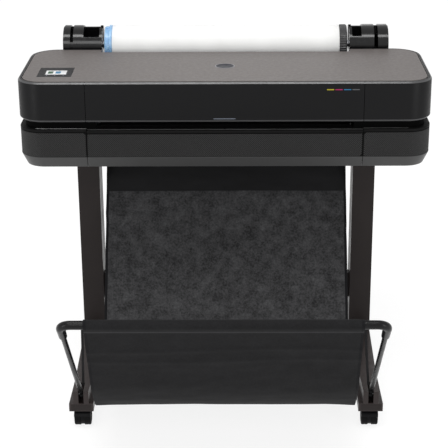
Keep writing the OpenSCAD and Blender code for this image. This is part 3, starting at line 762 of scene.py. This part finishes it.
def display():
    """The bezel, the dark glass with its lit area and two plain tiles, and three tick marks"""
    soften("display_bezel", bezel_plastic, 0.9)
    glass = plastic("display_glass_black", srgb(8, 8, 10), 0.4, 0.01, 0.3, 0.12)
    soften("display_glass", glass, 0.3)
    border = Vector((3.5, 3, 0))
    lo, hi = corners("display_glass")
    lo, hi = lo + border, hi - border
    wide = hi.x - lo.x
    lit = Shape().block((lo.x, lo.y, hi.z - 0.3), (hi.x, hi.y, hi.z + 0.1), 0.15)
    piece("screen_lit_area", lit, screen_finish("screen_white", srgb(206, 207, 208), 0.04), "frame")
    tile_share, tile_gap = 0.25, 8
    for name, colour, start in (("green", srgb(4, 66, 30), 0.1),
                                ("blue", srgb(38, 106, 142), 0.47)):
        x = lo.x + wide * start
        tile = Shape().block((x, lo.y + tile_gap, hi.z - 0.1),
                             (x + wide * tile_share, hi.y - tile_gap, hi.z + 0.25), 0.15)
        piece(f"screen_tile_{name}", tile, screen_finish(f"screen_{name}", colour, 0.03), "frame")
    bezel_z = corners("display_bezel")[1].z
    tick_width, tick_near, tick_far = 1.6, 13, 5
    ticks = Shape()
    for start in (0.07, 0.46, 0.88):
        x = lo.x + wide * start
        ticks.block((x, lo.y - tick_near, bezel_z - 0.1),
                    (x + tick_width, lo.y - tick_far, bezel_z + 0.1), 0.1)
    piece("screen_ticks", ticks, plastic("tick_paint", srgb(120, 120, 134)), "frame")


# ---------- roll, flanges and holders ----------

def paper_roll():
    """The wound paper with a small step where its outer turn ends, its core and its two ends"""
    steps = 120
    step_height, step_turn = 0.35, 0.9
    end_chamfer, stations = 0.6, 12

    def ring(x, shrink):
        points = []
        for k in range(steps):
            r = ROLL_R - shrink - step_height * k / steps
            turn = 2 * math.pi * k / steps + step_turn
            points.append((x, ROLL_Y + r * math.cos(turn), ROLL_Z + r * math.sin(turn)))
        return points

    rings = [ring(-ROLL_HALF, end_chamfer), ring(-ROLL_HALF + end_chamfer, 0)]
    rings += [ring(-ROLL_HALF + ROLL_HALF * 2 * k / stations, 0) for k in range(1, stations)]
    rings += [ring(ROLL_HALF - end_chamfer, 0), ring(ROLL_HALF, end_chamfer)]
    piece("wound_paper", Shape().loft(rings), paper_white, "spindle", ["paper_roll"], 50)
    centre = (0, ROLL_Y, ROLL_Z)
    core_out, core_in = 29, 25.5
    core_half = ROLL_HALF + 0.8
    end = rounded([(-core_half, core_in, 0.5), (core_half, core_in, 0.5),
                   (core_half, core_out, 0.5), (-core_half, core_out, 0.5)], 2)
    piece("roll_core", Shape().lathe(end, centre), core_card, "spindle")
    for side, name in ((-1, "left"), (1, "right")):
        sunk, proud = side * (ROLL_HALF - 0.2), side * (ROLL_HALF + 0.15)
        hole, rim = core_out + 0.1, ROLL_R - 1.2
        disc = [(sunk, hole), (proud, hole), (proud, rim), (sunk, rim)]
        piece(f"roll_edge_{name}", Shape().lathe(disc, centre), paper_edge, "spindle")


def flanges():
    """The blue flange with its spokes, and the flange with the knurled rim"""
    centre = (0, ROLL_Y, ROLL_Z)
    bore = 9
    lo, hi = corners("blue_flange")
    r = (hi.z - lo.z) / 2
    rim = rounded([
        (lo.x + 12, bore, 0), (hi.x, bore, 0), (hi.x, r, 1.5), (lo.x + 12.5, r, 1.2),
        (lo.x + 12, r - 3, 0.5), (lo.x + 1, r - 3.5, 0.8), (lo.x, r - 6, 0.8),
        (lo.x + 1, r - 9, 0.8), (lo.x + 8, r - 9.5, 1), (lo.x + 8.5, 22, 1),
        (lo.x + 1, 19, 1), (lo.x + 1, bore, 0)], 3)
    piece("blue_flange_body", Shape().lathe(rim, centre, steps=96), blue_plastic, "spindle",
          ["blue_flange"])
    spokes = Shape()
    spoke_count = 16
    for k in range(spoke_count):
        a = 2 * math.pi * k / spoke_count
        out = Vector((0, math.cos(a), math.sin(a)))
        across = Vector((0, -math.sin(a), math.cos(a)))
        rings = []
        for reach, half in ((21, 1.6), (r - 9.5, 1.1)):
            mid = Vector(centre) + out * reach
            rings.append([mid + across * u * half + Vector((lo.x + v, 0, 0))
                          for u, v in ((-1, 1.5), (1, 1.5), (1, 9), (-1, 9))])
        spokes.loft(rings)
    piece("blue_flange_spokes", spokes, blue_plastic, "spindle")

    lo, hi = corners("knurled_flange")
    r = (hi.z - lo.z) / 2
    knurls, knurl_depth = 48, 1.2
    # (x, radius, share of the knurl's depth that reaches here)
    profile = [(lo.x, bore, 0), (lo.x, r - 2.5, 0), (lo.x + 1.2, r - 0.6, 1),
               (hi.x - 3, r - 0.6, 1), (hi.x, r - 3, 1), (hi.x, r - 9, 0),
               (hi.x - 9, r - 11, 0), (hi.x - 9, 20, 0), (hi.x, 18, 0), (hi.x, bore, 0)]
    rings = []
    for k in range(knurls * 4):
        dip = knurl_depth if k % 4 >= 2 else 0
        a = 2 * math.pi * k / (knurls * 4)
        ring = []
        for x, radius, share in profile:
            reach = radius - dip * share
            ring.append((x, ROLL_Y + reach * math.cos(a), ROLL_Z + reach * math.sin(a)))
        rings.append(ring)
    piece("knurled_flange_body", Shape().loft(rings, closed=True), knurl_plastic, "spindle",
          ["knurled_flange"], 25)


def roll_parts():
    """The roll with its flanges, and the holders and shaft that carry it"""
    paper_roll()
    flanges()
    soften("left_roll_holder", holder_plastic, 1.6)
    soften("right_roll_holder", holder_plastic, 1.6)
    soften("spindle_bushes", black_plastic, 0.6)
    soften("spindle_shaft", steel, 1.0)


# ---------- rear ----------

def rear_details():
    """Vent grille, port panel and screw heads on the back of the housing; the vent openings and the
    socket mouths are near-black blocks painted as shade
    """
    back = corners("rear_housing")[1].y
    vents = Shape()
    slat_count, slat_pitch, slat_width, first_slat = 14, 12, 6, 120
    for k in range(slat_count):
        x = first_slat + slat_pitch * k
        vents.block((x, back - 0.9, 716), (x + slat_width, back + 0.35, 776), 0.5)
    # painted shade: dark blocks stand for the vent openings
    piece("rear_vent_slats", vents, void_painted_shade, "frame")
    panel = Shape().block((-330, back - 0.8, 690), (-210, back + 0.4, 724), 0.8)
    piece("port_panel", panel, bezel_plastic, "frame")
    ports = Shape()
    port_z = 700
    for x, w, h in ((-318, 16, 13), (-294, 12, 11), (-274, 12, 11)):
        ports.block((x, back + 0.2, port_z), (x + w, back + 0.9, port_z + h), 0.5)
    piece("port_sockets", ports, void_painted_shade, "frame")
    # (height, radius) of a domed head, turned about Y
    dome = rounded([(0, 0, 0), (0, 3.6, 0.3), (1.1, 3.0, 0.6), (1.3, 0, 0)], 3)
    sides = 20
    screws = Shape()
    for x in (-400, -130, 60, 400):
        for z in (680, 806):
            rings = []
            for k in range(sides):
                a = 2 * math.pi * k / sides
                rings.append([(x + r * math.cos(a), back - 0.5 + h, z + r * math.sin(a))
                              for h, r in dome])
            screws.loft(rings, closed=True)
    piece("rear_screws", screws, screw_steel, "frame")


# ---------- stand ----------

def stand():
    """The legs, feet, braces and screws with rounded edges, and a plate on each foot's front"""
    for node in ("left_leg", "right_leg", "cross_brace", "leg_top_brackets", "rear_bin_bar"):
        soften(node, leg_coat, 2.2 if node.endswith("leg") else 0.9)
    for node in ("left_foot", "right_foot"):
        soften(node, foot_coat, 2.6)
    soften("stand_fasteners", screw_steel, 0.8)
    plates = Shape()
    half, low, high = 26, 55, 71.5
    y = corners("right_foot")[0].y
    for side in (-1, 1):
        x = side * STAND_X
        plates.block((x - half, y - 0.4, low), (x + half, y + 0.6, high), 0.8)
    piece("foot_end_plates", plates, leg_coat, "frame")


def casters():
    """Twin-wheel casters: each pair of tyres with the axle between them, under a hood"""
    wheel_width = 17
    for end in ("front_left", "front_right", "rear_left", "rear_right"):
        soften(f"{end}_caster_hood", hood_plastic, 0.7)
        node = f"{end}_caster_wheels"
        lo, hi = corners(node)
        centre = (lo + hi) / 2
        r = (hi.z - lo.z) / 2
        width = wheel_width
        inner = (hi.x - lo.x) / 2 - width
        shape = Shape()
        for s in (-1, 1):
            tyre = rounded([
                (inner, 3, 0), (inner + 2, r - 4, 0.6), (inner, r - 3, 0.5), (inner, r, 1.2),
                (inner + 7, r, 0.4), (inner + 7.4, r - 0.5, 0.2), (inner + 8.2, r - 0.5, 0.2),
                (inner + 8.6, r, 0.4), (inner + width - 1, r, 3), (inner + width, r - 7, 1),
                (inner + width - 3, r - 8.5, 0.8), (inner + width - 3.4, 7.5, 1),
                (inner + width - 0.6, 6.5, 1), (inner + width - 0.6, 0, 0), (inner, 0, 0)], 3)
            shape.lathe([(s * a, b) for a, b in tyre], centre, steps=56)
        shape.lathe([(-inner, 0), (inner, 0), (inner, 3), (-inner, 3)], centre, steps=24)
        piece(f"{end}_twin_wheels", shape, wheel_plastic, BODY_OF[node],
              [node])


# ---------- print bin ----------

tube_lo, tube_hi = corners("bin_front_tube")
TUBE_R = 10.5
TUBE_Y = tube_lo.y + TUBE_R
TUBE_Z = tube_hi.z - TUBE_R
PIVOT_Y, PIVOT_Z = -98, 92
ARM_TOP = Vector((STAND_X, TUBE_Y, TUBE_Z))
ARM_FOOT = Vector((STAND_X, PIVOT_Y, PIVOT_Z))
ARM_RUN = (ARM_TOP - ARM_FOOT).normalized()
BAR_Y = corners("rear_bin_bar")[1].y - 10
BAR_Z = middle("rear_bin_bar").z
BAR_R = 8


def bin_frame():
    """The bent tube, its arms and their hooks"""
    bend = 24
    sleeve = 68
    path = []
    for side in (-1, 1):
        corner = Vector((side * STAND_X, TUBE_Y, TUBE_Z))
        inward = Vector((-side, 0, 0))
        ends = [corner - ARM_RUN * sleeve, corner - ARM_RUN * (bend + 2)]
        for k in range(11):
            a = math.pi / 2 * k / 10
            centre = corner - ARM_RUN * bend + inward * bend
            ends.append(centre - inward * bend * math.cos(a) + ARM_RUN * bend * math.sin(a))
        path += ends if side < 0 else ends[::-1]
    shape = Shape().tube(path, lambda j: TUBE_R if 0 < j < len(path) - 1 else TUBE_R - 0.8, 28,
                         Vector((0, 0.72, 0.69)))
    piece("bin_tube_bent", shape, tube_coat, "bin_frame", ["bin_front_tube"], 50)
    # the distances below run up each arm from its pivot
    arms, hooks = Shape(), Shape()
    arm_end = (ARM_TOP - ARM_FOOT).length - sleeve + 36
    for side in (-1, 1):
        foot = Vector((side * STAND_X, PIVOT_Y, PIVOT_Z))
        arms.tube([foot + ARM_RUN * d for d in (30.5, 31.5, 60, 200, 300, arm_end)],
                  lambda j: 5.8 if j == 0 else 6.4, 24)
        boss = rounded([(-5, 3.1, 0.3), (5, 3.1, 0.3), (5, 9, 1), (-5, 9, 1)], 3)
        hooks.lathe(boss, foot, steps=40)
        hooks.tube([foot + ARM_RUN * d for d in (7.5, 12, 20, 29, 30)],
                   lambda j: (5.4, 5.5, 5.5, 5.5, 4.8)[j], 24)
    piece("bin_arm_rods", arms, tube_coat, "bin_frame", ["bin_arms"])
    piece("bin_pivot_ends", hooks, black_plastic, "bin_frame",
          ["bin_pivot_hooks"])


CLOTH_HALF = corners("bin_sling_rear")[1].x
SAG_Y, SAG_Z, SAG_R = -113, 362, 257
SAG_REAR, SAG_FRONT = -31.6, -153.2
SLEEVE_R = TUBE_R + 1.6
SLEEVE_START, SLEEVE_WRAP = -150, 290
CLOTH_STEP = 5


def sling_line():
    """(y, z) of the cloth from over the rear bar, through the sag, to round the front tube"""
    points = arc((BAR_Y, BAR_Z), BAR_R + 1.2, 60, 215, 12)
    points += arc((SAG_Y, SAG_Z), SAG_R, SAG_REAR, SAG_FRONT, 60)
    seam = (TUBE_Y + 1, TUBE_Z - 20)
    points.append(seam)
    points += arc((TUBE_Y, TUBE_Z), SLEEVE_R, SLEEVE_START, SLEEVE_START - SLEEVE_WRAP, 30)
    points.append((seam[0] + 2.6, seam[1] + 1))
    return points


def spaced(points, step):
    """The same line with points at even distances; returns the points and its length"""
    runs = [0]
    for a, b in zip(points, points[1:]):
        runs.append(runs[-1] + math.dist(a, b))
    count = round(runs[-1] / step)
    done = []
    i = 0
    for k in range(count + 1):
        at = runs[-1] * k / count
        while runs[i + 1] < at and i < len(runs) - 2:
            i += 1
        t = (at - runs[i]) / (runs[i + 1] - runs[i])
        done.append((points[i][0] + (points[i + 1][0] - points[i][0]) * t,
                     points[i][1] + (points[i + 1][1] - points[i][1]) * t, at))
    return done, runs[-1]


def hump(at, centre, width):
    """1 at the centre, fading smoothly to nothing on both sides"""
    return math.exp(-((at - centre) / width) ** 2)


def rising(past, run):
    """0 until past is more than 0, then climbing evenly to 1 at run"""
    return min(1, max(0, past) / run)


def sling():
    """One cloth, hung from the rear bar and the front tube

    at is the distance along the cloth, from its rear edge.
    """
    line, length = spaced(sling_line(), CLOTH_STEP)
    across = 92
    front_narrowing = 8
    seam_at = length - 2 * math.pi * SLEEVE_R * SLEEVE_WRAP / 360 - 22
    points, faces = [], []
    for i, (y, z, at) in enumerate(line):
        before, after = line[max(i - 1, 0)], line[min(i + 1, len(line) - 1)]
        along = Vector((after[0] - before[0], after[1] - before[1])).normalized()
        normal = Vector((-along.y, along.x))
        slack = hump(at, 320, 260) + hump(at, 820, 300)
        free = rising(at - 30, 120) * rising(seam_at - at, 60)
        for k in range(across + 1):
            u = k / across * 2 - 1
            x = u * (CLOTH_HALF - front_narrowing * rising(at - 600, 300))
            calm = 1 - 0.6 * rising(at - 700, 200)
            # broad folds, then small ones
            folds = noise.noise(Vector((x * 0.006, at * 0.018, 3.1))) * 5.0 * calm
            folds += noise.noise(Vector((x * 0.02, at * 0.05, 9.7))) * 1.6 * calm
            # a crease across the sag, with a ridge just past it
            wavy = 250 + 13 * math.sin(x * 0.0045) + 5 * math.sin(x * 0.021)
            folds -= 5 * hump(at, wavy, 11)
            folds += 3 * hump(at, wavy + 24, 14)
            # two faint ridges before the front seam
            for centre, depth in ((seam_at - 66, 1.6), (seam_at - 104, 1.3)):
                folds += depth * hump(at, centre + 7 * math.sin(x * 0.008 + centre), 7)
            # the side edges wave where the cloth is slack
            edge = hump(abs(u), 1, 0.12)
            folds += 2.5 * edge * math.sin(at * 0.05) * slack
            off = folds * free
            # the sleeve gathers towards its two ends
            if at > seam_at + 30:
                gather = 0.7 * math.sin(x * 0.9 + 3 * noise.noise(Vector((x * 0.05, at * 0.1, 0))))
                off += gather * max(0, 1 - (CLOTH_HALF - abs(x)) / 60)
            points.append((x, y + normal.x * off, z + normal.y * off))
    row = across + 1
    for i in range(len(line) - 1):
        for k in range(across):
            a = i * row + k
            faces.append([a, a + 1, a + row + 1, a + row])
    shape = Shape().add(points, faces)
    cloth = piece("bin_cloth", shape, sling_cloth, None,
                  ["bin_sling_rear", "bin_sling_front"], 180)
    for extra in (band_cloth, panel_cloth, hem_cloth, stitch_cloth):
        cloth.data.materials.append(extra)
    band, panel, hem, stitching = 1, 2, 3, 4
    band_end = 170
    panel_start = length * 0.62
    for face in cloth.data.polygons:
        i, k = divmod(face.index, across)
        at = line[i][2]
        if at < band_end:
            face.material_index = band
        elif at > panel_start:
            face.material_index = panel
        if min(k, across - 1 - k) < 1 and at > band_end:
            face.material_index = hem
        if abs(at - seam_at + CLOTH_STEP / 2) < CLOTH_STEP * 0.6:
            face.material_index = stitching
    thick = cloth.modifiers.new("thickness", "SOLIDIFY")
    thick.thickness = 1.1 * MM
    thick.offset = 0
    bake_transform(cloth)
    return cloth


def side_straps():
    """Narrow webbing straps from the sleeve's ends down to the foot of each arm"""
    shape = Shape()
    top_x, foot_x = 317, 360
    half_width, sag, rows = 2.8, 6, 16
    section = ((-1, -0.8), (1, -0.8), (1.1, 0), (1, 0.8), (-1, 0.8), (-1.1, 0))
    for side in (-1, 1):
        top = Vector((side * top_x, TUBE_Y + 4, TUBE_Z - SLEEVE_R - 1))
        foot = Vector((side * foot_x, PIVOT_Y - 14, PIVOT_Z + 32))
        rings = []
        for k in range(rows + 1):
            t = k / rows
            mid = top.lerp(foot, t) + Vector((0, 0, -sag * math.sin(math.pi * t)))
            rings.append([mid + Vector((side * u * half_width, v, 0)) for u, v in section])
        shape.loft(rings)
    piece("bin_side_straps", shape, hem_cloth, "bin_frame")


# ---------- nodes that keep their CAD shape ----------

def dress_inner_nodes():
    """Gives materials to the nodes kept in their CAD shape, and rounds the edges of four more"""
    inner = {
        steel: ("chassis", "carriage_rail", "power_supply", "door_hinge_pins"),
        # painted shade: the waist frame is painted near-black for the shade in the recess
        void_painted_shade: ("waist_frame",),
        black_plastic: ("platen", "carriage", "cutter", "service_station"),
        motor_steel: ("carriage_motor", "feed_motor"),
        aluminium: ("drive_pulley", "idler_pulley"),
        belt_black: ("drive_belt",),
        roller_black: ("feed_roller", "pinch_rollers"),
        nylon: ("feed_gear",),
        brass: ("feed_pinion",),
        ink_black: ("ink_cartridges",),
        board_finish(): ("main_board",),
    }
    for material, names in inner.items():
        for name in names:
            mesh = frame["nodes"][name].data
            mesh.materials.clear()
            mesh.materials.append(material)
    soften("rear_housing", black_plastic, 1.6)
    soften("top_plate", plate_plastic, 0.7)
    soften("power_inlet", black_plastic, 0.5)
    soften("power_switch", black_plastic, 1.0)


# ---------- studio ----------

def studio():
    """A pale floor that glows a little, a white sky and five lamps; distances in metres"""
    floor_mesh = bpy.data.meshes.new("floor")
    reach = 40
    floor_glow, sky_strength = 0.82, 0.8
    floor_mesh.from_pydata([(-reach, -reach, 0), (reach, -reach, 0), (reach, reach, 0),
                            (-reach, reach, 0)], [], [[0, 1, 2, 3]])
    pale = Finish("studio_floor", 0.75, 0.1)
    pale.colour(pale.ramp(pale.noise(400, 2), [(0.3, (0.2, 0.2, 0.2, 1)),
                                               (0.7, (0.22, 0.22, 0.22, 1))]))
    fill(pale.shader, Emission_Color=(1, 1, 1, 1), Emission_Strength=floor_glow)
    floor_mesh.materials.append(pale.material)
    floor = new_object("floor", floor_mesh)

    world = bpy.data.worlds.new("studio")
    world.use_nodes = True
    fill(world.node_tree.nodes["Background"], Color=(1, 1, 1, 1), Strength=sky_strength)
    bpy.context.scene.world = world

    def lamp(name, at, target, size, power):
        light = bpy.data.lights.new(name, "AREA")
        light.shape = "RECTANGLE"
        light.size, light.size_y = size
        light.energy = power
        made = new_object(name, light)
        made.location = at
        made.rotation_euler = (Vector(target) - Vector(at)).to_track_quat("-Z", "Y").to_euler()
        made.visible_camera = False

    lamp("front_fill", (-0.8, -3.4, 2.6), (0, 0, 0.6), (2.0, 1.2), 26)
    for side, name in ((-1, "left_strip"), (1, "right_strip")):
        lamp(name, (side * 1.9, -1.6, 0.75), (side * 0.4, 0, 0.75), (0.22, 1.3), 9)
    lamp("overhead", (-0.3, -0.95, 3.4), (0, 0, 0.85), (2.6, 0.7), 46)
    lamp("behind", (0.1, 2.6, 1.9), (0, 0.1, 0.9), (1.2, 0.5), 3)


def camera():
    """A long lens a little right of the middle, looking down at the front, solved from the photo"""
    data = bpy.data.cameras.new("camera")
    data.sensor_width = 36
    data.lens = 110.73
    data.clip_end = 200
    made = new_object("camera", data)
    eye = place(35.45, -3217.65, 1744.49)
    pitch, turn, roll = 0.364611, 0.01194, -0.006386
    made.matrix_world = (Matrix.Translation(eye)
                         @ Matrix.Rotation(turn, 4, "Z")
                         @ Matrix.Rotation(math.pi / 2 - pitch, 4, "X")
                         @ Matrix.Rotation(roll, 4, "Z"))
    bpy.context.scene.camera = made


camera()
studio()
printer_covers()
door_marks()
badge()
display()
roll_parts()
rear_details()
stand()
casters()
bin_frame()
sling()
side_straps()
dress_inner_nodes()

bpy.context.scene.view_settings.view_transform = "Standard"
